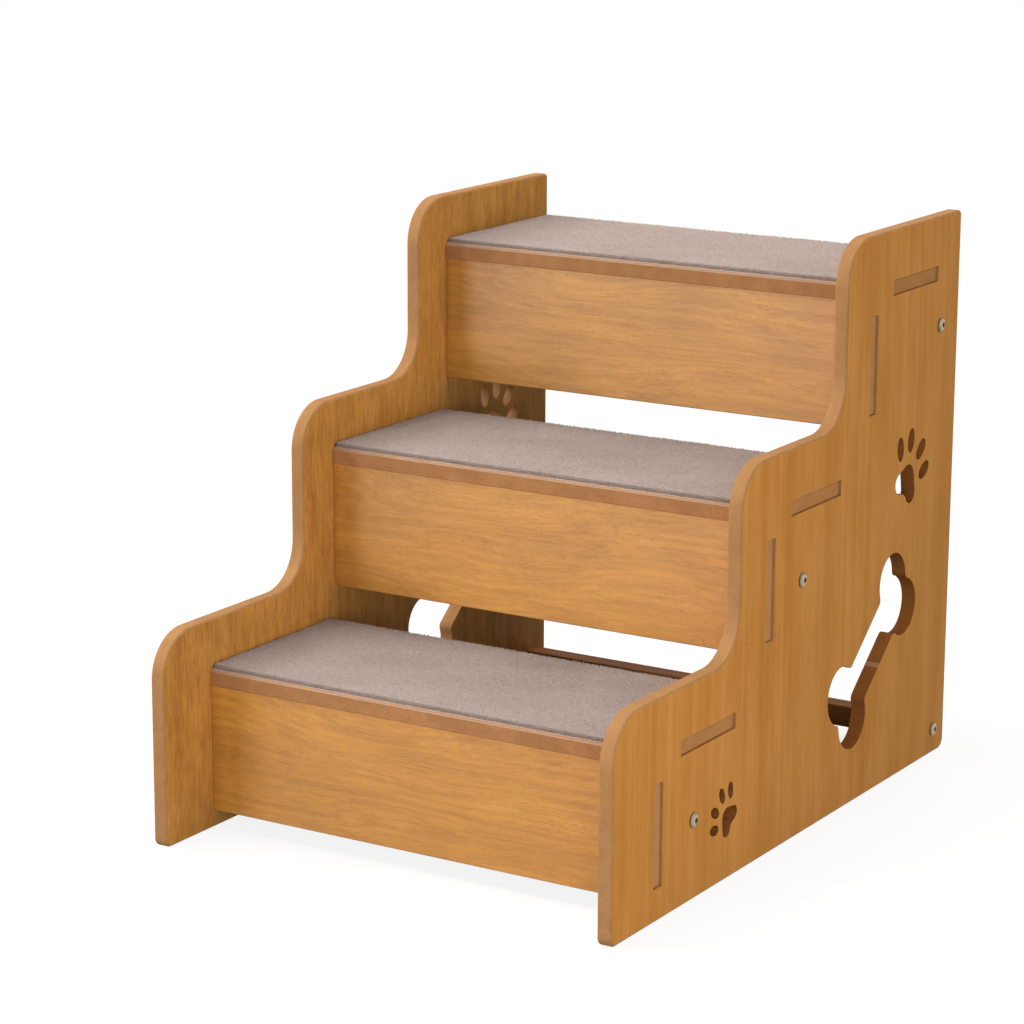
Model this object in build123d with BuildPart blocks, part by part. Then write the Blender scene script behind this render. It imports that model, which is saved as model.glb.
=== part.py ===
"""Three-step pet stairs.

Two S-curved side panels carry three treads and three risers on through tenons, and bolts pull
them against the ends of four square cross rails. A carpet pad lies on each tread.

Millimetres, +Z up. X runs across the steps and Y from the low step's front to the rear. The
origin is on the floor, midway between the panels and midway between the front and rear edges.
"""

import os

from build123d import *

os.makedirs("parts", exist_ok=True)

# Boards
overall_width = 400.0  # over the outer faces of the side panels
board_thickness = 12.0  # panels, treads and risers are cut from one sheet
panel_edge_round = 2.0  # routed round along the panels' outline
board_edge_round = 1.0  # eased arrises of treads and risers

# Steps
step_names = ("lower", "middle", "upper")
step_rise = 142.0
step_going = 165.0
first_tread_height = 126.0  # top face of the lower tread
first_tread_setback = 57.5  # its front edge, behind the panels' front edge
tread_depth = 160.0
rear_margin = 2.5  # from the upper tread's rear edge to the panels' rear edge
riser_floor_gap = 14.0  # under the lower riser; the other risers are cut like it
riser_setback = 1.5  # front face behind the tread's front edge

# Outline of the side panels
lip_height = 40.0  # panel edge above each tread
lip_reach = 40.0  # panel edge in front of the middle and upper treads
step_curve_radius = 36.0  # outward and inward curves of the S alike
front_foot_radius = 6.0
rear_foot_radius = 8.0
top_rear_radius = 4.0

# Through tenons
tread_tenon_shoulder = 39.0  # board beside the tenon, at each end of it
riser_tenon_shoulder = 11.0
tenon_recess = 2.5  # tenon end below the panel's outer face
slot_clearance = 0.2  # all round a tenon

# Bone cut-out
bone_centre_from_rear = 141.8
bone_centre_height = 117.0
bone_tilt = 39.5  # degrees from level, rising to the rear
bone_lobe_radius = 23.5
bone_lobe_spacing = 32.0  # across the bone, between the two lobes of an end
bone_end_spacing = 113.5  # along the bone, between the lobes of its two ends
bone_shaft_width = 40.0
bone_corner_round = 5.0

# Paw cut-outs
large_paw_width = 66.0  # over the outer toes
large_paw_from_rear = 87.8
large_paw_height = 243.3
large_paw_turn = -29.0  # degrees from upright, leaning to the rear
small_paw_width = 45.0
small_paw_from_front = 170.0
small_paw_height = 46.5
small_paw_turn = 45.0  # degrees from upright, leaning to the front

# Shape of a paw, lengths as shares of its width: x across it, y towards the toes
toe_place_shares = ((0.162, 0.473), (0.385, 0.280))  # inner toe, outer toe
toe_turns = (20.0, 35.0)  # degrees, leaning outwards
toe_length_share = 0.303
toe_width_share = 0.182
heel_lobe_place_share = (0.174, -0.091)
heel_lobe_radius_share = 0.121
heel_crown_place_share = (0.0, 0.030)
heel_crown_radius_share = 0.182
heel_notch_depth_share = 0.045
heel_corner_round_share = 0.06

# Cross rails
rail_size = 18.0
rail_edge_round = 1.5
front_rail_behind_riser = 57.5  # centre line behind the front face of its riser
front_rail_below_tread = 53.0  # centre line below the underside of its tread
upper_rail_from_rear = 33.5
upper_rail_below_tread = 36.5
lower_rail_from_rear = 21.5
lower_rail_height = 20.5

# Bolts
bolt_diameter = 6.0
bolt_length = 30.0  # under the head
bolt_tip_chamfer = 1.0
bolt_head_diameter = 12.0
bolt_head_height = 2.8
bolt_head_rim = 0.8  # upright edge of the head, under its dome
bolt_socket_width = 4.0  # across the flats
bolt_socket_depth = 1.8
panel_hole_clearance = 0.3  # round the bolt, on the radius

# Insert nuts in the end grain of the rails
insert_diameter = 10.0
insert_length = 13.0
insert_flange_diameter = 12.5
insert_flange_thickness = 1.2
insert_bore_clearance = 0.05  # round the bolt, on the radius
insert_hole_clearance = 0.1  # round the insert, on the radius
pilot_tip_room = 2.0  # beyond the bolt's tip

# Carpet pads
pad_thickness = 5.5
pad_front_inset = 1.5  # behind the tread's front edge
pad_rear_inset = 1.0
pad_side_gap = 0.5  # to each side panel
pad_edge_round = 2.0

cut_overrun = 1.0  # cutters pass this far beyond a face

# Sizes and places that follow
step_count = len(step_names)
top_step = step_count - 1
overall_depth = first_tread_setback + top_step * step_going + tread_depth + rear_margin
front_y = -overall_depth / 2
rear_y = overall_depth / 2
outer_x = overall_width / 2
inner_x = outer_x - board_thickness
inner_width = 2 * inner_x
width_over_tenons = 2 * (outer_x - tenon_recess)
riser_height = first_tread_height - board_thickness - riser_floor_gap
tread_tenon_length = tread_depth - 2 * tread_tenon_shoulder
riser_tenon_length = riser_height - 2 * riser_tenon_shoulder
panel_hole_radius = bolt_diameter / 2 + panel_hole_clearance
pilot_depth = bolt_length - board_thickness + pilot_tip_room


def tread_top(step: int) -> float:
    """Height of a tread's top face."""
    return first_tread_height + step * step_rise


def tread_front(step: int) -> float:
    """Y of a tread's front edge."""
    return front_y + first_tread_setback + step * step_going


def tread_middle(step: int) -> float:
    """Y midway along a tread and its tenons."""
    return tread_front(step) + tread_depth / 2


def riser_front(step: int) -> float:
    """Y of a riser's front face."""
    return tread_front(step) + riser_setback


def riser_middle(step: int) -> float:
    """Height midway up a riser and its tenons."""
    return tread_top(step) - board_thickness - riser_height / 2


def panel_front(step: int) -> float:
    """Y of the side panels' front edge beside a step."""
    return front_y if step == 0 else tread_front(step) - lip_reach


def panel_top(step: int) -> float:
    """Height of the side panels' edge beside a step."""
    return tread_top(step) + lip_height


def front_rail_centre(step: int) -> tuple[float, float]:
    """Y and Z of the rail that runs behind a riser."""
    return (
        riser_front(step) + front_rail_behind_riser,
        tread_top(step) - board_thickness - front_rail_below_tread,
    )


rail_centres = {
    "lower_front_rail": front_rail_centre(0),
    "middle_rail": front_rail_centre(1),
    "upper_rear_rail": (
        rear_y - upper_rail_from_rear,
        tread_top(top_step) - board_thickness - upper_rail_below_tread,
    ),
    "lower_rear_rail": (rear_y - lower_rail_from_rear, lower_rail_height),
}


def places_on_rail_axes(reach: float, side: int) -> list[Plane]:
    """Planes on the axes of the rails, each with its X axis pointing outwards.

    Args:
        reach: Distance of the planes from the middle of the stairs.
        side: 1 for the right side of the stairs, -1 for the left.
    """
    return [Plane((side * reach, y, z), x_dir=(side, 0, 0)) for y, z in rail_centres.values()]


# Bone outline, lying along its own X axis
with BuildSketch() as bone:
    Rectangle(bone_end_spacing, bone_shaft_width)
    with GridLocations(bone_end_spacing, bone_lobe_spacing, 2, 2):
        Circle(bone_lobe_radius)
    fillet(bone.vertices(), bone_corner_round)


def paw_outline(width: float) -> Sketch:
    """Heel pad under four toes, upright, centred on the pad.

    Args:
        width: Width over the outer toes.
    """
    lobe_x, lobe_y = (share * width for share in heel_lobe_place_share)
    crown_centre = tuple(share * width for share in heel_crown_place_share)
    lobe_radius = heel_lobe_radius_share * width
    notch_centre_y = lobe_y - lobe_radius + heel_notch_depth_share * width - lobe_x
    with BuildSketch() as heel:
        with Locations((-lobe_x, lobe_y), (lobe_x, lobe_y)):
            Circle(lobe_radius)
        with Locations(crown_centre):
            Circle(heel_crown_radius_share * width)
        make_hull()
        with Locations((0, notch_centre_y)):
            Circle(lobe_x, mode=Mode.SUBTRACT)
        fillet(heel.vertices().group_by(Axis.Y)[0], heel_corner_round_share * width)

    with BuildSketch() as paw:
        add(heel.sketch)
        for side in (-1, 1):
            for (x_share, y_share), turn in zip(toe_place_shares, toe_turns):
                with Locations((side * x_share * width, y_share * width)):
                    Ellipse(
                        toe_width_share * width / 2,
                        toe_length_share * width / 2,
                        rotation=-side * turn,
                    )
    return paw.sketch


large_paw = paw_outline(large_paw_width)
small_paw = paw_outline(small_paw_width)

# Side panels, cut as a mirrored pair
panel_corners = [(front_y, 0)]
panel_radii = [front_foot_radius]
for step in range(step_count):
    panel_corners.append((panel_front(step), panel_top(step)))
    panel_radii.append(step_curve_radius)
    if step < top_step:
        panel_corners.append((panel_front(step + 1), panel_top(step)))
        panel_radii.append(step_curve_radius)
panel_corners += [(rear_y, panel_top(top_step)), (rear_y, 0)]
panel_radii += [top_rear_radius, rear_foot_radius]

with BuildPart() as right_side_panel:
    with BuildSketch(Plane.YZ.offset(inner_x)):
        with BuildLine():
            FilletPolyline(*panel_corners, radius=panel_radii, close=True)
        make_face()
    extrude(amount=board_thickness)
    fillet(right_side_panel.faces().filter_by(Axis.X).edges(), panel_edge_round)

    with BuildSketch(Plane.YZ.offset(inner_x - cut_overrun)):
        for step in range(step_count):
            with Locations((tread_middle(step), tread_top(step) - board_thickness / 2)):
                Rectangle(
                    tread_tenon_length + 2 * slot_clearance,
                    board_thickness + 2 * slot_clearance,
                )
            with Locations((riser_front(step) + board_thickness / 2, riser_middle(step))):
                Rectangle(
                    board_thickness + 2 * slot_clearance,
                    riser_tenon_length + 2 * slot_clearance,
                )
        with Locations(*rail_centres.values()):
            Circle(panel_hole_radius)
        with Locations((rear_y - bone_centre_from_rear, bone_centre_height)):
            add(bone.sketch, rotation=bone_tilt)
        with Locations((rear_y - large_paw_from_rear, large_paw_height)):
            add(large_paw, rotation=large_paw_turn)
        with Locations((front_y + small_paw_from_front, small_paw_height)):
            add(small_paw, rotation=small_paw_turn)
    extrude(amount=board_thickness + 2 * cut_overrun, mode=Mode.SUBTRACT)
right_side_panel.part.label = "right_side_panel"
export_step(right_side_panel.part, "parts/right_side_panel.step")

with BuildPart() as left_side_panel:
    mirror(right_side_panel.part, about=Plane.YZ)
left_side_panel.part.label = "left_side_panel"
export_step(left_side_panel.part, "parts/left_side_panel.step")

# Treads
for step, name in enumerate(step_names):
    with BuildPart() as tread:
        with BuildSketch(Plane((0, tread_middle(step), tread_top(step) - board_thickness))):
            Rectangle(inner_width, tread_depth)
            Rectangle(width_over_tenons, tread_tenon_length)
        extrude(amount=board_thickness)
        edges_across = tread.edges().filter_by(Axis.X).group_by(Axis.Y)
        fillet(edges_across[0] + edges_across[-1], board_edge_round)
    tread.part.label = f"{name}_tread"
    export_step(tread.part, f"parts/{name}_tread.step")

# Risers
for step, name in enumerate(step_names):
    with BuildPart() as riser:
        rear_face = Plane(
            (0, riser_front(step) + board_thickness, riser_middle(step)),
            x_dir=(1, 0, 0),
            z_dir=(0, -1, 0),
        )
        with BuildSketch(rear_face):
            Rectangle(inner_width, riser_height)
            Rectangle(width_over_tenons, riser_tenon_length)
        extrude(amount=board_thickness)
        fillet(riser.edges().filter_by(Axis.X).group_by(Axis.Z)[0], board_edge_round)
    riser.part.label = f"{name}_riser"
    export_step(riser.part, f"parts/{name}_riser.step")

# Carpet pads
pad_depth = tread_depth - pad_front_inset - pad_rear_inset
for step, name in enumerate(step_names):
    with BuildPart() as carpet_pad:
        pad_middle = tread_front(step) + pad_front_inset + pad_depth / 2
        with BuildSketch(Plane((0, pad_middle, tread_top(step)))):
            Rectangle(inner_width - 2 * pad_side_gap, pad_depth)
        extrude(amount=pad_thickness)
        fillet(carpet_pad.faces().sort_by(Axis.Z)[-1].edges(), pad_edge_round)
    carpet_pad.part.label = f"{name}_carpet_pad"
    export_step(carpet_pad.part, f"parts/{name}_carpet_pad.step")

# Cross rails, bored at both ends for an insert nut and the tip of its bolt
for name, (rail_y, rail_z) in rail_centres.items():
    with BuildPart() as rail:
        with BuildSketch(Plane.YZ.offset(-inner_x)):
            with Locations((rail_y, rail_z)):
                RectangleRounded(rail_size, rail_size, rail_edge_round)
        extrude(amount=inner_width)
        rail_ends = [
            Plane((side * inner_x, rail_y, rail_z), z_dir=(side, 0, 0)) for side in (-1, 1)
        ]
        with Locations(*rail_ends):
            CounterBoreHole(
                radius=insert_diameter / 2 + insert_hole_clearance,
                counter_bore_radius=insert_flange_diameter / 2 + insert_hole_clearance,
                counter_bore_depth=insert_flange_thickness,
                depth=insert_length,
            )
            Hole(radius=panel_hole_radius, depth=pilot_depth)
    rail.part.label = name
    export_step(rail.part, f"parts/{name}.step")

# Insert nut, pointing along X with its flange's face at the origin
with BuildPart() as insert_nut:
    with BuildSketch(Plane.XZ):
        with BuildLine():
            Polyline(
                (0, bolt_diameter / 2 + insert_bore_clearance),
                (0, insert_flange_diameter / 2),
                (-insert_flange_thickness, insert_flange_diameter / 2),
                (-insert_flange_thickness, insert_diameter / 2),
                (-insert_length, insert_diameter / 2),
                (-insert_length, bolt_diameter / 2 + insert_bore_clearance),
                close=True,
            )
        make_face()
    revolve(axis=Axis.X)

# Bolt, pointing along X with the seat of its domed head at the origin
dome_height = bolt_head_height - bolt_head_rim
dome_radius = (dome_height**2 + (bolt_head_diameter / 2) ** 2) / (2 * dome_height)
with BuildPart() as bolt:
    with BuildSketch(Plane.XZ):
        with BuildLine():
            Polyline(
                (bolt_head_height, 0),
                (-bolt_length, 0),
                (-bolt_length, bolt_diameter / 2 - bolt_tip_chamfer),
                (-bolt_length + bolt_tip_chamfer, bolt_diameter / 2),
                (0, bolt_diameter / 2),
                (0, bolt_head_diameter / 2),
                (bolt_head_rim, bolt_head_diameter / 2),
            )
            RadiusArc(
                (bolt_head_rim, bolt_head_diameter / 2), (bolt_head_height, 0), dome_radius
            )
        make_face()
    revolve(axis=Axis.X)
    with BuildSketch(Plane.YZ.offset(bolt_head_height - bolt_socket_depth)):
        RegularPolygon(bolt_socket_width / 2, side_count=6, major_radius=False)
    extrude(amount=bolt_socket_depth, mode=Mode.SUBTRACT)

for name, side in {"left": -1, "right": 1}.items():
    with BuildPart() as insert_nuts:
        with Locations(*places_on_rail_axes(inner_x, side)):
            add(insert_nut.part)
    insert_nuts.part.label = f"{name}_insert_nuts"
    export_step(insert_nuts.part, f"parts/{name}_insert_nuts.step")

    with BuildPart() as bolts:
        with Locations(*places_on_rail_axes(outer_x, side)):
            add(bolt.part)
    bolts.part.label = f"{name}_bolts"
    export_step(bolts.part, f"parts/{name}_bolts.step")
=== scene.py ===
"""Looks of the three-step pet stairs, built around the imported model.

Metres, +Z up, in the part's own frame: X runs across the steps, Y from the low step's front to
the rear, and the floor is at Z = 0.
"""

import logging
import math
from dataclasses import dataclass, replace
from enum import Enum

import bpy
import numpy as np
from mathutils import Matrix, Vector


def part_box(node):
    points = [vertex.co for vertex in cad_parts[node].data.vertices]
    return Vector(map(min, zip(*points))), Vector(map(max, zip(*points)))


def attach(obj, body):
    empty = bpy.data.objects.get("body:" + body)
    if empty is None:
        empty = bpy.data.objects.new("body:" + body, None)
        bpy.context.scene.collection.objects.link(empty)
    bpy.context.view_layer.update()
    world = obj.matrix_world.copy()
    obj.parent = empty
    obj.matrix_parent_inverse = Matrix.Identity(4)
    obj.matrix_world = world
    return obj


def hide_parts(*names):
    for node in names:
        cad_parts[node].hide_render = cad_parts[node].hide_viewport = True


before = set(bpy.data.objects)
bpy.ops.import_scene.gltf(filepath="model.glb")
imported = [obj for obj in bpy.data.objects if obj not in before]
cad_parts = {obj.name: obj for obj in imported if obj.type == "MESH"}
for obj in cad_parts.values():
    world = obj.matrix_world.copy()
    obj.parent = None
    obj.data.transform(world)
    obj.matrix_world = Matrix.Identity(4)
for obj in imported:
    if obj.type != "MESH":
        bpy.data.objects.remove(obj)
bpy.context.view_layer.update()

MM = 0.001
AXES = (0, 1, 2)
STEPS = ("lower", "middle", "upper")
SIDES = ("left", "right")
RAILS = ("lower_front_rail", "middle_rail", "upper_rear_rail", "lower_rear_rail")
BODY = "root"

Pair = tuple[float, float]
Triple = tuple[float, float, float]
Colour = tuple[float, float, float, float]
Socket = bpy.types.NodeSocket
Feed = float | tuple[float, ...] | Socket

# Curve of sRGB: a straight foot up to its end, and an offset power above it.
SRGB_FULL = 255.0
SRGB_FOOT_END = 0.04045
SRGB_FOOT_SLOPE = 12.92
SRGB_OFFSET = 0.055
SRGB_POWER = 2.4
OPAQUE = 1.0
WHITE: Colour = (1.0, 1.0, 1.0, OPAQUE)

# Attributes of the pile's points, which its material reads.
TUFT_TONE = "tuft_tone"
TUFT_HEIGHT = "tuft_height"

# Keeps a division by a length of zero harmless.
TINY = 1e-9

log = logging.getLogger("pet_stairs")


def srgb(red: float, green: float, blue: float) -> Colour:
    """Linear colour of a tone given in 8-bit sRGB.

    Args:
        red: Red, 0 to 255.
        green: Green, 0 to 255.
        blue: Blue, 0 to 255.

    Returns:
        The linear colour, opaque.
    """
    linear = []
    for channel in (red, green, blue):
        tone = channel / SRGB_FULL
        if tone <= SRGB_FOOT_END:
            linear.append(tone / SRGB_FOOT_SLOPE)
        else:
            linear.append(((tone + SRGB_OFFSET) / (1 + SRGB_OFFSET)) ** SRGB_POWER)
    return (*linear, OPAQUE)


def toned(colour: Colour, gain: float) -> Colour:
    """Colour made lighter or darker by multiplying its channels."""
    return (*(channel * gain for channel in colour[:3]), OPAQUE)


def outward(azimuth: float, elevation: float) -> Vector:
    """Direction from the stairs to a place around them.

    Args:
        azimuth: Turn of the place from straight in front of the low step to the right, in radians.
        elevation: Its height above the level, in radians.

    Returns:
        The direction, of length 1.
    """
    return Vector((
        math.sin(azimuth) * math.cos(elevation),
        -math.cos(azimuth) * math.cos(elevation),
        math.sin(elevation),
    ))


class Grain(Enum):
    """Axis along which a board's figure runs."""

    ACROSS = 0
    UPRIGHT = 2


class Through(Enum):
    """Axis through a board's thickness."""

    SIDEWAYS = 0
    FORWARDS = 1
    UPRIGHT = 2


class Mix(Enum):
    """What a Mix node mixes: its data type, and the places of its two inputs and its result."""

    NUMBERS = ("FLOAT", 2, 3, 0)
    COLOURS = ("RGBA", 6, 7, 2)


class NodeGraph:
    """Node tree of a material or of the world."""

    def __init__(self, owner: bpy.types.Material | bpy.types.World, end: str) -> None:
        """Clears the tree and adds its output.

        Args:
            owner: Material or world that the tree belongs to.
            end: Type name of the output node.
        """
        owner.use_nodes = True
        self.tree = owner.node_tree
        self.tree.nodes.clear()
        self.output = self.add(end)

    def add(self, kind: str, *values: Feed, **settings: object) -> bpy.types.Node:
        """Adds a node.

        Args:
            kind: Type name of the node.
            *values: A constant or another node's output for each of its inputs, in their order.
            **settings: Properties of the node.

        Returns:
            The new node.
        """
        node = self.tree.nodes.new(kind)
        for name, value in settings.items():
            setattr(node, name, value)
        for socket, value in zip(node.inputs, values):
            self.put(socket, value)
        return node

    def put(self, socket: Socket, value: Feed) -> None:
        """Sets or links one input.

        Args:
            socket: The input.
            value: A constant or another node's output.
        """
        if isinstance(value, bpy.types.NodeSocket):
            self.tree.links.new(value, socket)
        else:
            socket.default_value = value

    def feed(self, node: bpy.types.Node, **values: Feed) -> None:
        """Sets or links inputs of a node by their names.

        Args:
            node: The node to feed.
            **values: A constant or another node's output for each input; an underscore stands
                for a space in the input's name.
        """
        for name, value in values.items():
            self.put(node.inputs[name.replace("_", " ")], value)

    def calculate(self, operation: str, *values: Feed) -> Socket:
        """Result of an arithmetic node fed with constants or other nodes' outputs."""
        return self.add("ShaderNodeMath", *values, operation=operation).outputs[0]

    def spread(
        self, value: Socket, low: float, high: float, to_low: float = 0.0, to_high: float = 1.0
    ) -> Socket:
        """Value carried from one range to another with soft ends.

        Args:
            value: What to carry over.
            low: Start of its range.
            high: End of its range.
            to_low: What the start becomes.
            to_high: What the end becomes.

        Returns:
            The value in its new range, never outside it.
        """
        node = self.add("ShaderNodeMapRange", interpolation_type="SMOOTHSTEP")
        self.feed(node, Value=value, From_Min=low, From_Max=high, To_Min=to_low, To_Max=to_high)
        return node.outputs["Result"]

    def seen(self) -> Socket:
        """Tells the rays that come from the camera, a reflection or a clear surface.

        Returns:
            1 for such a ray and 0 for any other.
        """
        rays = self.add("ShaderNodeLightPath").outputs
        seen = self.calculate("MAXIMUM", rays["Is Camera Ray"], rays["Is Glossy Ray"])
        return self.calculate("MAXIMUM", seen, rays["Is Transmission Ray"])


class ShaderGraph(NodeGraph):
    """Node tree of one material, with a Principled shader at its end."""

    def __init__(self, name: str) -> None:
        """Starts an empty material.

        Args:
            name: Name of the material.
        """
        self.material = bpy.data.materials.new(name)
        super().__init__(self.material, "ShaderNodeOutputMaterial")
        self.shader = self.add("ShaderNodeBsdfPrincipled")
        self.put(self.output.inputs["Surface"], self.shader.outputs["BSDF"])
        self.position = self.add("ShaderNodeTexCoord").outputs["Object"]

    def off_centre(self, way: Through) -> Socket:
        """Distance from the origin along one axis."""
        parts = self.add("ShaderNodeSeparateXYZ", self.position)
        return self.calculate("ABSOLUTE", parts.outputs[way.value])

    def stretched(self, sizes: Triple, shift: float = 0.0, where: Socket | None = None) -> Socket:
        """Position in units of a pattern's size along each axis.

        Args:
            sizes: Length of one unit of the pattern along X, Y and Z.
            shift: How far the pattern is moved along all axes, in its own units.
            where: Position to use in place of the plain one.

        Returns:
            The pattern's coordinates.
        """
        mapping = self.add("ShaderNodeMapping")
        self.feed(mapping, Vector=where or self.position, Scale=tuple(1 / s for s in sizes))
        self.feed(mapping, Location=(shift, shift, shift))
        return mapping.outputs["Vector"]

    def noise(self, where: Socket, octaves: float = 2.0, roughness: float = 0.5) -> Socket:
        """Smooth noise from 0 to 1 with features about one unit wide.

        Args:
            where: Coordinates of the pattern.
            octaves: Finer layers added on top of the first.
            roughness: Share that each layer keeps of the one before it.

        Returns:
            The noise.
        """
        node = self.add("ShaderNodeTexNoise")
        self.feed(node, Vector=where, Scale=1.0, Detail=octaves, Roughness=roughness)
        return node.outputs["Fac"]

    def speckle(self, size: float, octaves: float, roughness: float = 0.5) -> Socket:
        """Smooth noise with features of one size, alike in every direction."""
        return self.noise(self.stretched((size,) * 3), octaves, roughness)

    def cells(self, where: Socket) -> tuple[Socket, Socket]:
        """Scattered points, one in each unit of space.

        Args:
            where: Coordinates of the pattern.

        Returns:
            Distance to the nearest point, and a number from 0 to 1 drawn for that point.
        """
        node = self.add("ShaderNodeTexVoronoi", feature="F1")
        self.feed(node, Vector=where, Scale=1.0, Randomness=1.0)
        drawn = self.add("ShaderNodeSeparateXYZ", node.outputs["Color"])
        return node.outputs["Distance"], drawn.outputs[0]

    def blend(self, share: Feed, first: Feed, second: Feed, kind: Mix = Mix.COLOURS) -> Socket:
        """Mix of two colours or two numbers.

        Args:
            share: How much of the second one is used.
            first: The first one.
            second: The second one.
            kind: What they are.

        Returns:
            The mix.
        """
        data_type, first_place, second_place, result = kind.value
        node = self.add("ShaderNodeMix", share, data_type=data_type)
        self.put(node.inputs[first_place], first)
        self.put(node.inputs[second_place], second)
        return node.outputs[result]

    def merge(self, share: Feed, first: Feed, second: Feed) -> Socket:
        """Mix of two numbers."""
        return self.blend(share, first, second, Mix.NUMBERS)

    def relief(self, height: Socket, depth: float) -> None:
        """Gives the shader fine relief.

        Args:
            height: Height of the surface, 0 to 1.
            depth: Real depth of the relief.
        """
        bump = self.add("ShaderNodeBump")
        self.feed(bump, Height=height, Distance=depth, Strength=1.0)
        self.put(self.shader.inputs["Normal"], bump.outputs["Normal"])


@dataclass(frozen=True)
class Board:
    """How one board stands, and where in the print it is cut."""

    node: str
    grain: Grain
    through: Through
    shift: float

    def faces(self) -> Pair:
        """Distances of its two faces from the origin, the nearer one first."""
        return tuple(sorted(abs(corner[self.through.value]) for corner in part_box(self.node)))

    def pattern(self, graph: ShaderGraph, size: Pair, where: Socket | None = None) -> Socket:
        """Coordinates of a pattern that follows the board's grain.

        Args:
            graph: Material to add them to.
            size: A feature's width across the grain and its length along it.
            where: Position to use in place of the plain one.

        Returns:
            The pattern's coordinates.
        """
        width, length = size
        sizes = tuple(length if axis == self.grain.value else width for axis in AXES)
        return graph.stretched(sizes, self.shift, where)


@dataclass(frozen=True)
class OakPaper:
    """Oak print on the faces of a board, under a satin skin.

    Bands, flecks and pores all follow one slow flow of the grain, so that they bend together into
    long arches. Sizes are a feature's width across the grain and its length along it, a span is
    the stretch of a noise that is spread over the full contrast, and reaches and walls of pores
    are measured in cells.
    """

    light: Colour = srgb(220, 154, 78)
    deep: Colour = srgb(194, 126, 49)
    pore: Colour = srgb(163, 98, 39)
    flow: Pair = (140 * MM, 420 * MM)
    flow_depth: float = 14 * MM
    flow_octaves: float = 1.0
    patch: Pair = (34 * MM, 130 * MM)
    patch_share: float = 0.4
    patch_octaves: float = 2.0
    band: Pair = (7 * MM, 620 * MM)
    band_share: float = 0.4
    band_octaves: float = 4.0
    fleck: Pair = (1.5 * MM, 26 * MM)
    fleck_share: float = 0.2
    fleck_octaves: float = 3.0
    figure_roughness: float = 0.6
    figure_span: Pair = (0.3, 0.7)
    figure_height: float = 0.35
    pore_cell: Pair = (1.6 * MM, 9 * MM)
    pore_share: float = 0.2
    pore_reach: float = 0.36
    pore_wall: Pair = (-0.04, 0.14)
    cluster: Pair = (30 * MM, 80 * MM)
    cluster_span: Pair = (0.35, 0.7)
    cluster_reach: Pair = (-0.16, 0.1)

    def toned(self, gain: float) -> "OakPaper":
        """Lighter or darker cut of the same print."""
        light, deep, pore = (toned(tone, gain) for tone in (self.light, self.deep, self.pore))
        return replace(self, light=light, deep=deep, pore=pore)

    def bent(self, graph: ShaderGraph, board: Board) -> Socket:
        """Position in which the grain runs straight, although it bends on the board.

        Args:
            graph: Material to add it to.
            board: The board.

        Returns:
            The bent position.
        """
        flow = graph.noise(board.pattern(graph, self.flow), self.flow_octaves)
        offset = graph.calculate("MULTIPLY_ADD", flow, self.flow_depth, -self.flow_depth / 2)
        offsets = (0.0 if axis == board.grain.value else offset for axis in AXES)
        sideways = graph.add("ShaderNodeCombineXYZ", *offsets).outputs["Vector"]
        moved = graph.add("ShaderNodeVectorMath", graph.position, sideways, operation="ADD")
        return moved.outputs["Vector"]

    def pores(self, graph: ShaderGraph, board: Board, where: Socket) -> Socket:
        """Short dashes scattered along the grain, thicker in some places than in others.

        Args:
            graph: Material to add them to.
            board: The board.
            where: The bent position.

        Returns:
            Darkness of the pores.
        """
        distance, chance = graph.cells(board.pattern(graph, self.pore_cell, where))
        clusters = graph.noise(board.pattern(graph, self.cluster, where))
        crowd = graph.spread(clusters, *self.cluster_span, *self.cluster_reach)
        limit = graph.calculate("MULTIPLY_ADD", chance, self.pore_reach, crowd)
        return graph.spread(graph.calculate("SUBTRACT", limit, distance), *self.pore_wall)

    def print_on(self, graph: ShaderGraph, board: Board) -> tuple[Socket, Socket]:
        """Adds the print to a material.

        Args:
            graph: Material to add it to.
            board: The board.

        Returns:
            Colour and height of the print.
        """
        where = self.bent(graph, board)
        figures = (
            (self.patch, self.patch_share, self.patch_octaves),
            (self.band, self.band_share, self.band_octaves),
            (self.fleck, self.fleck_share, self.fleck_octaves),
        )
        total = 0.0
        for size, share, octaves in figures:
            pattern = board.pattern(graph, size, where)
            figure = graph.noise(pattern, octaves, self.figure_roughness)
            even = graph.spread(figure, *self.figure_span)
            total = graph.calculate("MULTIPLY_ADD", even, share, total)
        pores = self.pores(graph, board, where)
        tone = graph.blend(total, self.deep, self.light)
        tone = graph.blend(graph.calculate("MULTIPLY", pores, self.pore_share), tone, self.pore)
        swell = graph.calculate("MULTIPLY", total, self.figure_height)
        return tone, graph.calculate("SUBTRACT", swell, pores)


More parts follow.
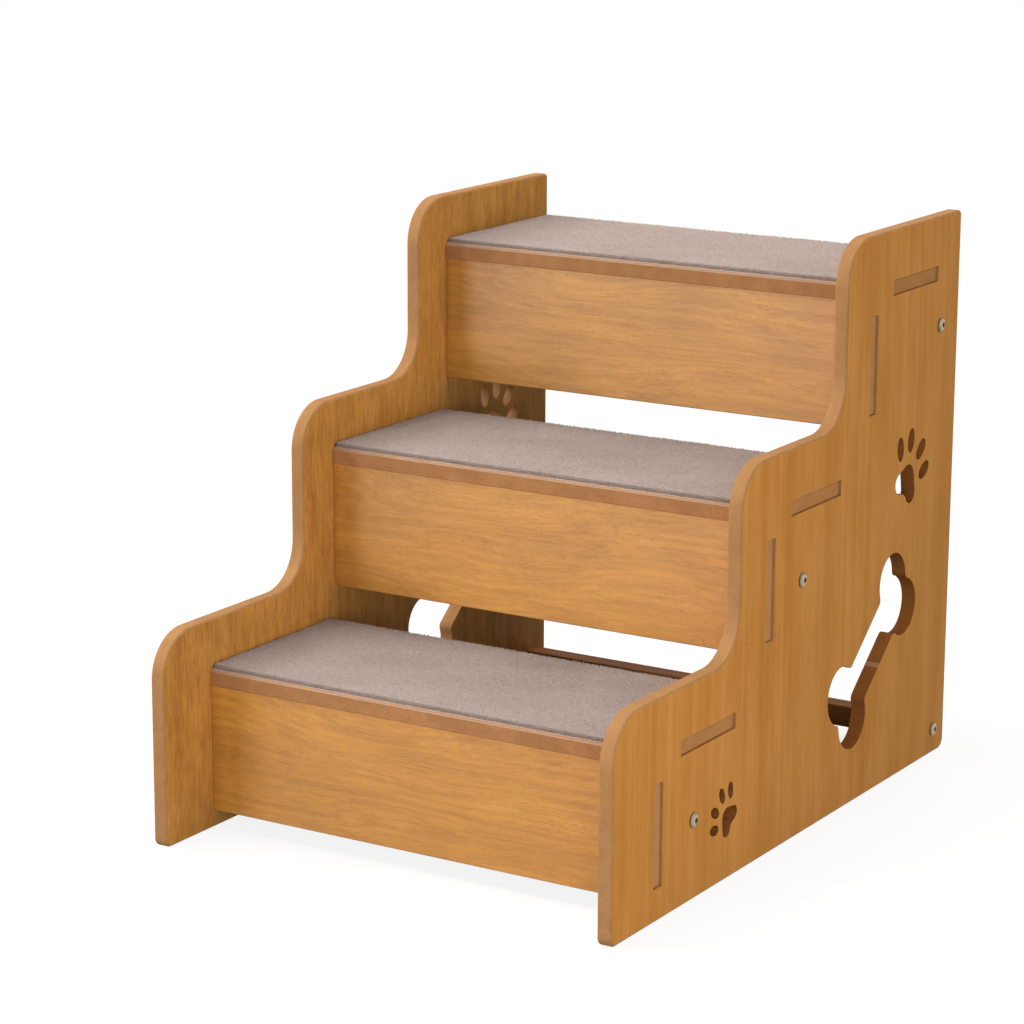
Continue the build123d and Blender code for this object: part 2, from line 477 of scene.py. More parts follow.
@dataclass(frozen=True)
class RoutedFibreboard:
    """Bare edge of a board where the cutter has passed: tan, faintly fuzzy, with darker flecks."""

    tone: Colour = srgb(173, 128, 83)
    fleck: Colour = srgb(142, 97, 57)
    fleck_size: float = 0.9 * MM
    fleck_octaves: float = 3.0
    fleck_roughness: float = 0.65
    fleck_span: Pair = (0.4, 0.7)
    fleck_share: float = 0.45
    blotch_size: float = 16 * MM
    blotch_octaves: float = 2.0
    blotch_span: Pair = (0.35, 0.65)
    blotch_share: float = 0.25

    def toned(self, gain: float) -> "RoutedFibreboard":
        """Lighter or darker board of the same kind."""
        return replace(self, tone=toned(self.tone, gain), fleck=toned(self.fleck, gain))

    def dress(self, graph: ShaderGraph) -> tuple[Socket, Socket]:
        """Adds the bare edge to a material.

        Args:
            graph: Material to add it to.

        Returns:
            Colour and height of the bare board.
        """
        flecks = graph.speckle(self.fleck_size, self.fleck_octaves, self.fleck_roughness)
        blotches = graph.speckle(self.blotch_size, self.blotch_octaves)
        mask = graph.spread(flecks, *self.fleck_span, to_high=self.fleck_share)
        shade = graph.spread(blotches, *self.blotch_span, to_high=self.blotch_share)
        tone = graph.blend(mask, self.tone, self.fleck)
        return graph.blend(shade, tone, self.fleck), flecks


@dataclass(frozen=True)
class CutOut:
    """Round stretch of a panel that holds a cut-out, or one end of it."""

    y: float
    z: float
    radius: float

    def mask(self, graph: ShaderGraph) -> Socket:
        """Tells what lies in the stretch.

        Args:
            graph: Material to add it to.

        Returns:
            1 inside the stretch and 0 outside it.
        """
        flat = graph.add("ShaderNodeMapping")
        graph.feed(flat, Vector=graph.position, Scale=(0.0, 1.0, 1.0))
        middle = (0.0, self.y, self.z)
        away = graph.add("ShaderNodeVectorMath", flat.outputs["Vector"], middle, operation="DISTANCE")
        return graph.calculate("LESS_THAN", away.outputs["Value"], self.radius)


SMALL_PAW = CutOut(-105 * MM, 46.5 * MM, 32 * MM)
LARGE_PAW = CutOut(187.2 * MM, 243.3 * MM, 44 * MM)
BONE_UPPER_END = CutOut(177 * MM, 153 * MM, 58 * MM)
BONE_LOWER_END = CutOut(89.4 * MM, 81 * MM, 58 * MM)


@dataclass(frozen=True)
class BoardFinish:
    """Printed fibreboard: oak paper on the two faces and bare edges all round.

    The paper's heights and roughness go from its pores to its crests. The arris is painted paler
    between two depths under the outer face, for wear and a painted highlight where it catches the
    light from above, and the joint is the corner where a board meets a panel, where painted shade
    darkens a strip.
    """

    paper: OakPaper = OakPaper()
    shaded_inner_paper: OakPaper | None = None
    paper_heights: Pair = (-1.0, 0.4)
    paper_roughness: Pair = (0.52, 0.4)
    edge: RoutedFibreboard = RoutedFibreboard()
    edge_roughness: float = 0.78
    edge_sink: float = 0.33
    # Tenon ends: the end cut's own tone, raised further as painted light against the shade in the
    # recessed slots.
    end: RoutedFibreboard | None = None
    end_from: float = 187.9 * MM
    cut_outs: tuple[CutOut, ...] = ()
    # Painted shade: darker tone given to the walls of the cut-outs, for the shade inside the holes.
    wall_shade: RoutedFibreboard = RoutedFibreboard(tone=srgb(146, 90, 44), fleck=srgb(110, 64, 28))
    joint_at: float = 188.0 * MM
    joint_width: float = 0.9 * MM
    # Painted shade: how dark a narrow strip of a board's face is painted where it meets a panel.
    joint_shade: float = 0.0
    # Paler arris: wear of the bare board together with a painted highlight where the arris catches
    # the light from above.
    arris_wear_and_highlight: Colour | None = None
    arris_from: float = 1.3 * MM
    arris_to: float = 0.6 * MM
    skin: float = 0.15 * MM
    gloss: float = 0.03
    relief_depth: float = 0.05 * MM

    def toned(self, gain: float) -> "BoardFinish":
        """Copy of the finish with its paper and edges lighter or darker, used to paint light that
        falls off from step to step.
        """
        return replace(self, paper=self.paper.toned(gain), edge=self.edge.toned(gain))

    def material(self, board: Board) -> bpy.types.Material:
        """Makes the material of one board.

        Args:
            board: The board.

        Returns:
            The material.
        """
        graph = ShaderGraph(f"{board.node}_print")
        inner, outer = board.faces()
        middle, half = (inner + outer) / 2, (outer - inner) / 2
        depth = graph.off_centre(board.through)
        bare = graph.calculate("COMPARE", depth, middle, half - self.skin)
        face_tone, face_height = self.printed(graph, board, depth, middle)
        edge_tone, edge_height = self.routed(graph, depth, outer)
        tone = graph.blend(bare, face_tone, edge_tone)
        if self.joint_shade:
            tone = self.painted_joint_shade(graph, tone)
        satin = graph.spread(face_height, *self.paper_heights, *self.paper_roughness)
        graph.feed(
            graph.shader,
            Base_Color=tone,
            Roughness=graph.merge(bare, satin, self.edge_roughness),
            Specular_IOR_Level=self.gloss,
        )
        level = graph.calculate("SUBTRACT", edge_height, self.edge_sink)
        graph.relief(graph.merge(bare, face_height, level), self.relief_depth)
        return graph.material

    def printed(
        self, graph: ShaderGraph, board: Board, depth: Socket, middle: float
    ) -> tuple[Socket, Socket]:
        """Adds the printed faces.

        Args:
            graph: Material to add them to.
            board: The board.
            depth: Distance from the origin through the board.
            middle: Where the middle of its thickness lies.

        Returns:
            Colour and height of the faces.
        """
        tone, height = self.paper.print_on(graph, board)
        # Darker paper on the inner face: painted shade.
        if self.shaded_inner_paper:
            shaded_inner_tone, inner_height = self.shaded_inner_paper.print_on(graph, board)
            inside = graph.calculate("LESS_THAN", depth, middle)
            tone = graph.blend(inside, tone, shaded_inner_tone)
            height = graph.merge(inside, height, inner_height)
        return tone, height

    def routed(self, graph: ShaderGraph, depth: Socket, outer: float) -> tuple[Socket, Socket]:
        """Adds the bare edges: the arris worn and painted paler, the tenon ends painted lighter, and
        the walls of the cut-outs painted darker as shade.

        Args:
            graph: Material to add them to.
            depth: Distance from the origin through the board.
            outer: Where its outer face lies.

        Returns:
            Colour and height of the edges.
        """
        tone, height = self.edge.dress(graph)
        if self.arris_wear_and_highlight:
            # Wear and painted highlight along the arris.
            worn_and_lit = graph.spread(depth, outer - self.arris_from, outer - self.arris_to)
            tone = graph.blend(worn_and_lit, tone, self.arris_wear_and_highlight)
        # Tenon ends painted lighter, partly as painted light against the shade in their slots.
        if self.end:
            lit_end_tone, _ = self.end.dress(graph)
            side = graph.off_centre(Through.SIDEWAYS)
            past = graph.calculate("GREATER_THAN", side, self.end_from)
            tone = graph.blend(past, tone, lit_end_tone)
        # Painted shade on the walls of the cut-outs.
        if self.cut_outs:
            walls = 0.0
            for cut_out in self.cut_outs:
                walls = graph.calculate("MAXIMUM", walls, cut_out.mask(graph))
            wall_shade_tone, _ = self.wall_shade.dress(graph)
            tone = graph.blend(walls, tone, wall_shade_tone)
        return tone, height

    def painted_joint_shade(self, graph: ShaderGraph, tone: Socket) -> Socket:
        """Paints shade into a narrow strip of the board beside the panels.

        Args:
            graph: Material to add it to.
            tone: Colour of the board.

        Returns:
            The colour with the strip.
        """
        # Painted shade in the corner where the board meets the panel.
        side = graph.off_centre(Through.SIDEWAYS)
        start = self.joint_at - self.joint_width
        near = graph.spread(side, start, self.joint_at, to_high=self.joint_shade)
        visible = graph.calculate("LESS_THAN", side, self.joint_at)
        return graph.blend(graph.calculate("MULTIPLY", near, visible), tone, self.paper.pore)


@dataclass(frozen=True)
class PlanedWood:
    """Planed solid wood of the cross rails, unvarnished, its tones darkened as painted shade for
    rails that stand under the treads.
    """

    # Darker than the boards as painted shade: the rails stand in shade under the treads.
    light: Colour = srgb(156, 102, 56)
    deep: Colour = srgb(122, 75, 38)
    line: Triple = (90 * MM, 1.6 * MM, 1.6 * MM)
    line_octaves: float = 4.0
    line_roughness: float = 0.6
    line_span: Pair = (0.4, 0.65)
    line_share: float = 0.45
    band: Triple = (160 * MM, 9 * MM, 9 * MM)
    band_span: Pair = (0.35, 0.65)
    roughness: float = 0.62
    gloss: float = 0.08
    relief_depth: float = 0.08 * MM

    def material(self, name: str) -> bpy.types.Material:
        """Makes the material.

        Args:
            name: Name of the material.

        Returns:
            The material.
        """
        graph = ShaderGraph(name)
        bands = graph.noise(graph.stretched(self.band))
        lines = graph.noise(graph.stretched(self.line), self.line_octaves, self.line_roughness)
        tone = graph.blend(graph.spread(bands, *self.band_span), self.deep, self.light)
        shade = graph.spread(lines, *self.line_span, to_high=self.line_share)
        graph.feed(
            graph.shader,
            Base_Color=graph.blend(shade, tone, self.deep),
            Roughness=self.roughness,
            Specular_IOR_Level=self.gloss,
        )
        graph.relief(lines, self.relief_depth)
        return graph.material


@dataclass(frozen=True)
class PlatedSteel:
    """Plated steel with a faint turned grain and random tarnish, a head's crown kept bright and its
    rim painted dark as a painted reflection of darker surroundings.
    """

    tone: Colour = srgb(182, 166, 141)
    tarnish_and_rim_shade: Colour = srgb(100, 88, 66)
    tarnish_span: Pair = (0.4, 0.7)
    tarnish_shares: Pair = (1.0, 1.25)
    rim_at: float = 200.4 * MM
    crown_at: float = 202.4 * MM
    cloud_size: float = 2.2 * MM
    cloud_octaves: float = 3.0
    cloud_roughness: float = 0.6
    cloud_span: Pair = (0.3, 0.7)
    roughness: Pair = (0.288, 0.486)
    scratch: Triple = (2 * MM, 0.12 * MM, 0.12 * MM)
    scratch_depth: float = 0.01 * MM

    def material(self, name: str) -> bpy.types.Material:
        """Makes the material.

        Args:
            name: Name of the material.

        Returns:
            The material.
        """
        graph = ShaderGraph(name)
        cloud = graph.speckle(self.cloud_size, self.cloud_octaves, self.cloud_roughness)
        stain = graph.spread(cloud, *self.tarnish_span, *self.tarnish_shares)
        # Painted reflection: the head's rim is darkened and its crown left bright.
        height = graph.spread(graph.off_centre(Through.SIDEWAYS), self.rim_at, self.crown_at)
        dull_and_rim_shade = graph.calculate("SUBTRACT", stain, height)
        graph.feed(
            graph.shader,
            Base_Color=graph.blend(dull_and_rim_shade, self.tone, self.tarnish_and_rim_shade),
            Roughness=graph.spread(cloud, *self.cloud_span, *self.roughness),
            Metallic=1.0,
        )
        graph.relief(graph.noise(graph.stretched(self.scratch)), self.scratch_depth)
        return graph.material


@dataclass(frozen=True)
class CarpetFinish:
    """Warm grey cut pile with tufts of slightly different tones, its roots painted darker as shade
    deep in the pile.
    """

    tip: Colour = srgb(178, 158, 148)
    dark_tip: Colour = srgb(155, 136, 127)
    # Painted shade: colour of the pile deep among the tufts.
    root: Colour = srgb(132, 115, 105)
    root_end: float = 0.8
    tuft_share: float = 0.6
    blotch_share: float = 0.4
    blotch_size: float = 5 * MM
    blotch_octaves: float = 3.0
    blotch_span: Pair = (0.3, 0.7)
    roughness: float = 0.92
    sheen: float = 0.15
    sheen_roughness: float = 0.5
    gloss: float = 0.2

    def material(self, name: str) -> bpy.types.Material:
        """Makes the material, which reads each tuft's tone and height from the mesh.

        Args:
            name: Name of the material.

        Returns:
            The material.
        """
        graph = ShaderGraph(name)
        tone = graph.add("ShaderNodeAttribute", attribute_name=TUFT_TONE).outputs["Fac"]
        height = graph.add("ShaderNodeAttribute", attribute_name=TUFT_HEIGHT).outputs["Fac"]
        blotches = graph.speckle(self.blotch_size, self.blotch_octaves)
        even = graph.spread(blotches, *self.blotch_span, to_high=self.blotch_share)
        mixed = graph.calculate("MULTIPLY_ADD", tone, self.tuft_share, even)
        tips = graph.blend(mixed, self.dark_tip, self.tip)
        # Tufts blend from the painted root shade up to their tip colours.
        graph.feed(
            graph.shader,
            Base_Color=graph.blend(graph.spread(height, 0.0, self.root_end), self.root, tips),
            Roughness=self.roughness,
            Sheen_Weight=self.sheen,
            Sheen_Roughness=self.sheen_roughness,
            Specular_IOR_Level=self.gloss,
        )
        return graph.material


@dataclass(frozen=True)
class BackingFinish:
    """Pale latex backing under the pile, with fine crumbs."""

    tone: Colour = srgb(190, 166, 151)
    crumb: Colour = srgb(165, 141, 127)
    crumb_size: float = 0.7 * MM
    crumb_octaves: float = 3.0
    crumb_roughness: float = 0.7
    crumb_span: Pair = (0.35, 0.65)
    roughness: float = 0.85
    gloss: float = 0.1
    relief_depth: float = 0.2 * MM

    def material(self, name: str) -> bpy.types.Material:
        """Makes the material.

        Args:
            name: Name of the material.

        Returns:
            The material.
        """
        graph = ShaderGraph(name)
        crumbs = graph.speckle(self.crumb_size, self.crumb_octaves, self.crumb_roughness)
        graph.feed(
            graph.shader,
            Base_Color=graph.blend(graph.spread(crumbs, *self.crumb_span), self.tone, self.crumb),
            Roughness=self.roughness,
            Specular_IOR_Level=self.gloss,
        )
        graph.relief(crumbs, self.relief_depth)
        return graph.material


def wear(piece: bpy.types.Object, material: bpy.types.Material) -> None:
    """Gives a piece one material all over."""
    piece.data.materials.clear()
    piece.data.materials.append(material)


@dataclass
class Boards:
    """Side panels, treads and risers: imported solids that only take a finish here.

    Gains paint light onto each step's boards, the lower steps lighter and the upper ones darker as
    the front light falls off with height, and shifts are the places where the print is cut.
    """

    panels: tuple[BoardFinish, ...] = (
        # The left panel's inner face gets its own finer print in darker tones, which paint the shade
        # on the face turned into the stairs.
        BoardFinish(shaded_inner_paper=OakPaper(
            light=srgb(208, 151, 75),
            deep=srgb(159, 106, 49),
            pore=srgb(130, 84, 38),
            patch=(14 * MM, 44 * MM),
            patch_share=0.34,
            band=(7 * MM, 300 * MM),
            band_share=0.26,
            fleck=(1.8 * MM, 13 * MM),
            fleck_share=0.4,
            pore_share=0.34,
        )),
        BoardFinish(cut_outs=(SMALL_PAW, LARGE_PAW, BONE_UPPER_END, BONE_LOWER_END)),
    )
    panel_shifts: Pair = (0.0, 11.0)
    riser: BoardFinish = BoardFinish(
        paper=OakPaper(
            light=srgb(199, 139, 55),
            deep=srgb(154, 101, 36),
            pore=srgb(124, 77, 29),
            flow=(70 * MM, 230 * MM),
            flow_depth=46 * MM,
            patch=(40 * MM, 110 * MM),
            patch_share=0.3,
            band=(4 * MM, 240 * MM),
            band_share=0.42,
            fleck=(1.3 * MM, 11 * MM),
            fleck_share=0.28,
            pore_cell=(1.3 * MM, 6.5 * MM),
            pore_share=0.34,
        ),
        end=RoutedFibreboard(tone=srgb(191, 138, 82), fleck=srgb(161, 111, 62)),
        joint_shade=0.7,
        gloss=0.6,
    )
    # Painted light: the lower risers lighter and the upper ones darker.
    riser_light_gains: Triple = (1.12, 1.04, 0.95)
    riser_shifts: Triple = (37.0, 42.0, 47.0)
    tread: BoardFinish = BoardFinish(
        edge=RoutedFibreboard(tone=srgb(176, 125, 82), fleck=srgb(130, 85, 51)),
        end=RoutedFibreboard(tone=srgb(199, 141, 85), fleck=srgb(169, 113, 67)),
        arris_wear_and_highlight=srgb(163, 137, 119),
        joint_shade=0.7,
    )
    # Painted light: the lower treads lighter and the upper ones darker.
    tread_light_gains: Triple = (1.02, 0.97, 0.88)
    tread_shifts: Triple = (23.0, 24.0, 25.0)

    def dress(self) -> None:
        """Gives every board its own cut of the print."""
        for side, finish, shift in zip(SIDES, self.panels, self.panel_shifts):
            self.put_on(finish, Board(f"{side}_side_panel", Grain.UPRIGHT, Through.SIDEWAYS, shift))
        for index, step in enumerate(STEPS):
            tread = Board(f"{step}_tread", Grain.ACROSS, Through.UPRIGHT, self.tread_shifts[index])
            self.put_on(self.tread.toned(self.tread_light_gains[index]), tread)
            riser = Board(f"{step}_riser", Grain.ACROSS, Through.FORWARDS, self.riser_shifts[index])
            self.put_on(self.riser.toned(self.riser_light_gains[index]), riser)

    def put_on(self, finish: BoardFinish, board: Board) -> None:
        """Gives one board its finish."""
        wear(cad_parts[board.node], finish.material(board))
        log.info("%s: printed board, grain %s", board.node, board.grain.name.lower())


@dataclass
class Hardware:
    """Rails, bolts and insert nuts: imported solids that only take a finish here."""

    wood: PlanedWood = PlanedWood()
    nickel: PlatedSteel = PlatedSteel()
    zinc: PlatedSteel = PlatedSteel(
        tone=srgb(205, 190, 140), tarnish_and_rim_shade=srgb(165, 145, 95), roughness=(0.28, 0.4725)
    )

    def dress(self) -> None:
        """Gives the rails, bolts and nuts their finishes."""
        rail_wood = self.wood.material("planed_rail_wood")
        for node in RAILS:
            wear(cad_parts[node], rail_wood)
            log.info("%s: planed wood", node)
        for side in SIDES:
            wear(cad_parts[f"{side}_bolts"], self.nickel.material(f"{side}_bolt_nickel"))
            wear(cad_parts[f"{side}_insert_nuts"], self.zinc.material(f"{side}_nut_zinc"))
            log.info("%s bolts and insert nuts: plated steel", side)


@dataclass(frozen=True)
class Wave:
    """Slow wave over the pads, with its rates in radians a metre and its start in radians.

    A wave that is a pad's own starts later by the pad's seed.
    """

    along_x: float
    along_y: float
    start: float = 0.0
    own: bool = False

    def at(self, points: np.ndarray, seed: int) -> np.ndarray:
        """Height of the wave at each point, from -1 to 1."""
        start = self.start + (seed if self.own else 0)
        return np.sin(points[..., 0] * self.along_x + points[..., 1] * self.along_y + start)


@dataclass
class CarpetPad:
    """Cut-pile carpet pad: a thin latex backing under one closed, tufted pile.

    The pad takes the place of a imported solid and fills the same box. The pile is a lattice that is
    laid over the pad's rounded top and down its sides, with one leaning tuft drawn up in each cell.
    The tufts' rises are measured in height spreads, and the trims in the waves of rim and top.
    """

    step: str
    seed: int
    backing_height: float = 1.5 * MM
    backing_inset: float = 0.15 * MM
    backing_ease: float = 0.3 * MM
    ease_segments: int = 2
    cell: float = 1.15 * MM
    rim_radius: float = 2.2 * MM
    tuft_depth: float = 1.7 * MM
    tuft_rises: Pair = (-1.0, 0.3)
    height_spread: float = 0.45 * MM
    lean_spread: float = 0.38 * MM
    root_jitter: float = 0.36 * MM
    root_tone: float = 0.5
    lay_lean: float = 0.35 * MM
    bends: tuple[Wave, ...] = (Wave(47, 0, own=True), Wave(29, 71), Wave(-61, 113))
    sways: tuple[Wave, ...] = (Wave(83, -37, start=math.pi / 2), Wave(0, 59, own=True))
    rim_wave: float = 0.45 * MM
    rim_trim: float = 0.4
    ripples: tuple[Wave, ...] = (Wave(310, 0, own=True), Wave(730, 500), Wave(-170, 410))
    top_wave: float = 0.2 * MM
    top_trim: float = 0.5
    swells: tuple[Wave, ...] = (Wave(52, 33, own=True), Wave(-41, 88))
    side_room: float = 0.35 * MM
    front_room: float = 0.8 * MM
    top_room: float = 0.25 * MM

    def __post_init__(self) -> None:
        """Reads the box that the pad has to fill."""
        self.low, self.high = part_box(self.node)
        self.random = np.random.default_rng(self.seed)
        size = np.array(self.high) - np.array(self.low)
        self.inner = size[:2] - 2 * self.rim_radius
        pile_height = size[2] - self.backing_height
        self.side_length = self.rim_radius * math.pi / 2 + pile_height - self.rim_radius

    @property
    def node(self) -> str:
        """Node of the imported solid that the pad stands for."""
        return f"{self.step}_carpet_pad"

    def build(self, pile: bpy.types.Material, latex: bpy.types.Material) -> None:
        """Builds the backing and the pile and puts them in place.

        Args:
            pile: Material of the tufts.
            latex: Material of the backing.
        """
        backing = self.build_backing()
        wear(backing, latex)
        carpet = self.build_pile()
        wear(carpet, pile)
        for piece in (backing, carpet):
            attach(piece, BODY)
        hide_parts(self.node)
        log.info("%s: %d triangles of pile", self.node, len(carpet.data.polygons))

    def build_backing(self) -> bpy.types.Object:
        """Models the backing, a thin sheet with eased edges.

        Returns:
            The backing.
        """
        bpy.ops.object.select_all(action="DESELECT")
        middle = (self.low + self.high) / 2
        bpy.ops.mesh.primitive_cube_add(
            size=1,
            location=(middle.x, middle.y, self.low.z + self.backing_height / 2),
            scale=(
                self.high.x - self.low.x - 2 * self.backing_inset,
                self.high.y - self.low.y - 2 * self.backing_inset,
                self.backing_height,
            ),
        )
        backing = bpy.context.object
        backing.name = f"{self.step}_carpet_backing"
        bpy.ops.object.transform_apply(location=True, rotation=True, scale=True)
        bpy.ops.object.mode_set(mode="EDIT")
        bpy.ops.mesh.select_all(action="SELECT")
        bpy.ops.mesh.bevel(offset=self.backing_ease, segments=self.ease_segments)
        bpy.ops.object.mode_set(mode="OBJECT")
        return backing

    def stations(self, axis: int) -> np.ndarray:
        """Lattice lines along one axis, measured over the pad's sides and top.

        Args:
            axis: 0 for X, 1 for Y.

        Returns:
            The lines' places, where 0 and the inner length are the ends of the flat top.
        """
        flat = self.inner[axis]
        down = round(self.side_length / self.cell)
        side = np.linspace(0, self.side_length, down + 1)[1:]
        top = np.linspace(0, flat, round(flat / self.cell) + 1)
        return np.concatenate([-side[::-1], top, flat + side])

    def over(self, place: np.ndarray) -> tuple[np.ndarray, np.ndarray]:
        """Lays points of the flat lattice over the pad's rounded top and down its sides.

        Args:
            place: Points on the flat lattice.

        Returns:
            The points on the pad's skin, and the directions in which the skin faces there.
        """
        held = np.clip(place, 0, self.inner)
        beyond = place - held
        reach = np.abs(beyond).max(axis=-1)
        length = np.maximum(np.linalg.norm(beyond, axis=-1), TINY)
        away = beyond / length[..., None]
        turn = np.minimum(reach / self.rim_radius, math.pi / 2)
        fall = np.maximum(reach - self.rim_radius * math.pi / 2, 0)
        start = np.array([self.low.x, self.low.y]) + self.rim_radius
        across = start + held + away * (self.rim_radius * np.sin(turn))[..., None]
        height = self.high.z - self.rim_radius * (1 - np.cos(turn)) - fall
        facing = np.concatenate([away * np.sin(turn)[..., None], np.cos(turn)[..., None]], axis=-1)
        return np.concatenate([across, height[..., None]], axis=-1), facing

    def mean(self, waves: tuple[Wave, ...], points: np.ndarray) -> np.ndarray:
        """Mean height of a few waves at each point, from -1 to 1."""
        return sum(wave.at(points, self.seed) for wave in waves) / len(waves)

    def lay(self, points: np.ndarray) -> np.ndarray:
        """Sideways lean of the pile, wandering slowly over the pad, from -1 to 1 on each axis."""
        bend, sway = self.mean(self.bends, points), self.mean(self.sways, points)
        return np.stack([bend, sway, np.zeros_like(bend)], axis=-1)

    def swell(self, points: np.ndarray, facing: np.ndarray) -> np.ndarray:
        """Slow waves of the pile's top and of its trimmed outline.

        Args:
            points: Points on the pad's skin.
            facing: Directions in which the skin faces there.

        Returns:
            How far each point is moved along its direction.
        """
        rim = (self.mean(self.ripples, points) - self.rim_trim) * self.rim_wave
        top = (self.mean(self.swells, points) - self.top_trim) * self.top_wave
        share = facing[..., 2]
        return (1 - share) * rim + share * top

    def roots(self, place: np.ndarray) -> np.ndarray:
        """Lattice points sunk below the pad's skin, where the tufts grow from.

        Args:
            place: Points on the flat lattice.

        Returns:
            The points in space.
        """
        inner = place.copy()
        inner[1:-1, 1:-1] += self.random.uniform(-1, 1, inner[1:-1, 1:-1].shape) * self.root_jitter
        points, facing = self.over(inner)
        return points - facing * self.tuft_depth

    def tips(self, place: np.ndarray) -> np.ndarray:
        """Tips of the tufts, one for each cell of the lattice.

        Args:
            place: Middles of the cells on the flat lattice.

        Returns:
            The points in space.
        """
        points, facing = self.over(place)
        rise = self.swell(points, facing)
        rise += self.random.uniform(*self.tuft_rises, rise.shape) * self.height_spread
        lean = self.random.normal(0, self.lean_spread, points.shape)
        lean += self.lay(points) * facing[..., 2:] * self.lay_lean
        tips = points + facing * rise[..., None] + lean
        room = np.array([self.side_room, self.front_room, self.top_room])
        floor = np.array([self.low.x, self.low.y, self.low.z + self.backing_height])
        return np.clip(tips, floor - room * (1, 1, 0), np.array(self.high) + room)

    def build_pile(self) -> bpy.types.Object:
        """Builds the pile as one closed mesh.

        Returns:
            The pile, with each tuft's tone and each point's height in its attributes.
        """
        lines = [self.stations(axis) for axis in (0, 1)]
        place = np.stack(np.meshgrid(*lines, indexing="ij"), axis=-1)
        middle = (place[:-1, :-1] + place[1:, 1:]) / 2
        roots, tips = self.roots(place), self.tips(middle)
        index = np.arange(roots[..., 0].size).reshape(roots.shape[:2])
        tip_index = index.size + np.arange(tips[..., 0].size).reshape(tips.shape[:2])
        corners = (index[:-1, :-1], index[1:, :-1], index[1:, 1:], index[:-1, 1:])
        faces = [
            np.stack([first, second, tip_index], axis=-1).reshape(-1, 3)
            for first, second in zip(corners, corners[1:] + corners[:1])
        ]
        ring = np.concatenate([index[:-1, 0], index[-1, :-1], index[:0:-1, -1], index[0, :0:-1]])
        bottom = np.full(len(ring), index.size + tip_index.size)
        faces.append(np.stack([np.roll(ring, -1), ring, bottom], axis=-1))
        centre = roots.reshape(-1, 3)[ring].mean(axis=0, keepdims=True)
        points = np.concatenate([roots.reshape(-1, 3), tips.reshape(-1, 3), centre])

        mesh = self.mesh_of(points, np.concatenate(faces))
        heights = np.zeros(len(points))
        heights[index.size:-1] = 1
        tones = np.full(len(points), self.root_tone)
        tones[index.size:-1] = self.random.uniform(0, 1, tip_index.size)
        self.note(mesh, TUFT_HEIGHT, heights)
        self.note(mesh, TUFT_TONE, tones)
        carpet = bpy.data.objects.new(mesh.name, mesh)
        bpy.context.scene.collection.objects.link(carpet)
        return carpet

    def mesh_of(self, points: np.ndarray, faces: np.ndarray) -> bpy.types.Mesh:
        """Makes a smooth-shaded mesh of triangles.

        Args:
            points: Points in space.
            faces: Three point numbers for each triangle.

        Returns:
            The mesh.
        """
        mesh = bpy.data.meshes.new(f"{self.step}_carpet_pile")
        mesh.vertices.add(len(points))
        mesh.vertices.foreach_set("co", points.reshape(-1).astype(np.float32))
        mesh.loops.add(faces.size)
        mesh.loops.foreach_set("vertex_index", faces.reshape(-1).astype(np.int32))
        mesh.polygons.add(len(faces))
        starts = np.arange(0, faces.size, faces.shape[1], dtype=np.int32)
        mesh.polygons.foreach_set("loop_start", starts)
        mesh.update(calc_edges=True)
        mesh.shade_smooth()
        return mesh

    def note(self, mesh: bpy.types.Mesh, name: str, values: np.ndarray) -> None:
        """Writes one value for each point of a mesh into a named attribute."""
        attribute = mesh.attributes.new(name, "FLOAT", "POINT")
        attribute.data.foreach_set("value", values.astype(np.float32))


@dataclass(frozen=True)
class PhotoCamera:
    """Camera at the photograph's viewing angle."""

    place: Triple = (1.2691, -2.1359, 0.8348)
    yaw: float = math.radians(31.753)
    pitch: float = math.radians(13.677)
    roll: float = math.radians(0.244)
    focal_pixels: float = 3281.5
    image_pixels: float = 1024.0
    sensor: float = 36.0

    def set_up(self) -> None:
        """Adds the camera and makes it the scene's own."""
        ahead = -outward(self.yaw, self.pitch)
        level = Vector((math.cos(self.yaw), math.sin(self.yaw), 0.0))
        upright = level.cross(ahead)
        right = math.cos(self.roll) * level + math.sin(self.roll) * upright
        up = -math.sin(self.roll) * level + math.cos(self.roll) * upright
        data = bpy.data.cameras.new("photo_camera")
        data.sensor_width = self.sensor
        data.lens = self.focal_pixels / self.image_pixels * self.sensor
        camera = bpy.data.objects.new("photo_camera", data)
        turn = Matrix((right, up, -ahead)).transposed().to_4x4()
        camera.matrix_world = Matrix.Translation(self.place) @ turn
        bpy.context.scene.collection.objects.link(camera)
        bpy.context.scene.camera = camera


@dataclass(frozen=True)
class SoftBox:
    """Large soft lamp aimed at the middle of the stairs, with its angles in degrees."""

    name: str
    azimuth: float
    elevation: float
    distance: float
    size: float
    watts: float
    aim_height: float = 0.2

    def set_up(self) -> None:
        """Adds the lamp."""
        data = bpy.data.lights.new(self.name, "AREA")
        data.shape = "SQUARE"
        data.size = self.size
        data.energy = self.watts
        lamp = bpy.data.objects.new(self.name, data)
        away = outward(math.radians(self.azimuth), math.radians(self.elevation))
        lamp.location = Vector((0.0, 0.0, self.aim_height)) + away * self.distance
        lamp.rotation_mode = "QUATERNION"
        lamp.rotation_quaternion = (-away).to_track_quat("-Z", "Y")
        bpy.context.scene.collection.objects.link(lamp)


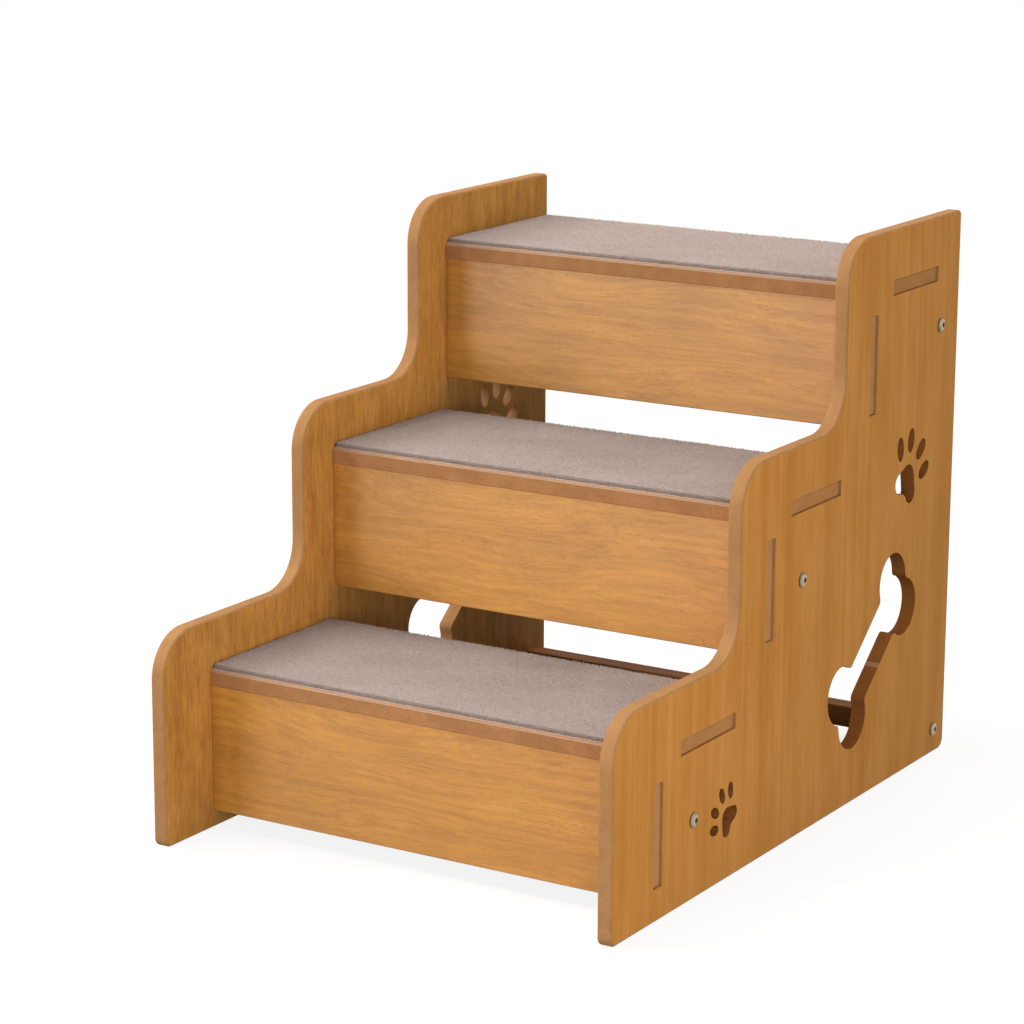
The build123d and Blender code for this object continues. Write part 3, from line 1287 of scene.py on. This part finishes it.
@dataclass(frozen=True)
class Studio:
    """Pale floor that is plain white from afar, white surroundings and soft lamps."""

    floor_size: float = 24.0
    floor_tone: float = 0.15
    floor_glow: float = 0.86
    near: float = 0.9
    far: float = 2.2
    ambient: float = 0.02
    boxes: tuple[SoftBox, ...] = (
        SoftBox("key_box", -33.0, 6.0, 3.0, 1.0, 21.0),
        SoftBox("low_front_box", -10.0, 1.0, 1.3, 0.3, 2.9),
        SoftBox("left_box", -58.0, 9.0, 3.0, 1.0, 16.0),
        SoftBox("high_left_box", -55.0, 60.0, 3.0, 1.2, 28.0),
        SoftBox("far_left_box", -80.0, 35.0, 3.0, 1.2, 56.0),
        SoftBox("near_right_box", 32.0, 5.0, 1.6, 0.6, 6.8),
        SoftBox("front_right_box", 60.0, 5.0, 1.6, 0.6, 6.2),
        SoftBox("high_right_box", 92.0, 35.0, 3.0, 1.2, 22.0),
        SoftBox("overhead_box", 0.0, 88.0, 3.0, 1.2, 27.0),
        SoftBox("rear_box", 180.0, 50.0, 3.0, 1.2, 39.0),
    )

    def set_up(self) -> None:
        """Adds the floor, the surroundings and the lamps."""
        for box in self.boxes:
            box.set_up()
        self.lay_floor()
        self.light_surroundings()
        bpy.context.scene.view_settings.view_transform = "Standard"

    def lay_floor(self) -> None:
        """Adds the floor: pale and shadowed near the stairs, plain white further out."""
        bpy.ops.object.select_all(action="DESELECT")
        bpy.ops.mesh.primitive_plane_add(size=self.floor_size, location=(0, 0, 0))
        floor = bpy.context.object
        floor.name = "studio_floor"
        material = bpy.data.materials.new("pale_floor")
        graph = NodeGraph(material, "ShaderNodeOutputMaterial")
        seen = graph.seen()
        matt = graph.add("ShaderNodeBsdfDiffuse", toned(WHITE, self.floor_tone))
        strength = graph.calculate("MULTIPLY", seen, self.floor_glow)
        glow = graph.add("ShaderNodeEmission", WHITE, strength)
        near = graph.add("ShaderNodeAddShader", matt.outputs["BSDF"], glow.outputs["Emission"])
        white = graph.add("ShaderNodeEmission", WHITE, 1.0)
        place = graph.add("ShaderNodeTexCoord").outputs["Object"]
        away = graph.add("ShaderNodeVectorMath", place, operation="LENGTH").outputs["Value"]
        share = graph.calculate("MULTIPLY", graph.spread(away, self.near, self.far), seen)
        shades = (near.outputs["Shader"], white.outputs["Emission"])
        mix = graph.add("ShaderNodeMixShader", share, *shades)
        graph.put(graph.output.inputs["Surface"], mix.outputs["Shader"])
        wear(floor, material)

    def light_surroundings(self) -> None:
        """Sets plain white surroundings that shine only faintly on the stairs."""
        world = bpy.data.worlds.new("white_surroundings")
        bpy.context.scene.world = world
        graph = NodeGraph(world, "ShaderNodeOutputWorld")
        strength = graph.spread(graph.seen(), 0.0, 1.0, to_low=self.ambient)
        background = graph.add("ShaderNodeBackground", WHITE, strength)
        graph.put(graph.output.inputs["Surface"], background.outputs["Background"])


def main() -> None:
    """Builds and dresses the stairs, then sets up the studio around them."""
    PhotoCamera().set_up()
    Boards().dress()
    Hardware().dress()
    pile = CarpetFinish().material("warm_grey_pile")
    latex = BackingFinish().material("pale_latex")
    for seed, step in enumerate(STEPS):
        CarpetPad(step, seed).build(pile, latex)
    Studio().set_up()


if __name__ == "__main__":
    logging.basicConfig(level=logging.INFO, format="%(name)s: %(message)s")
    main()
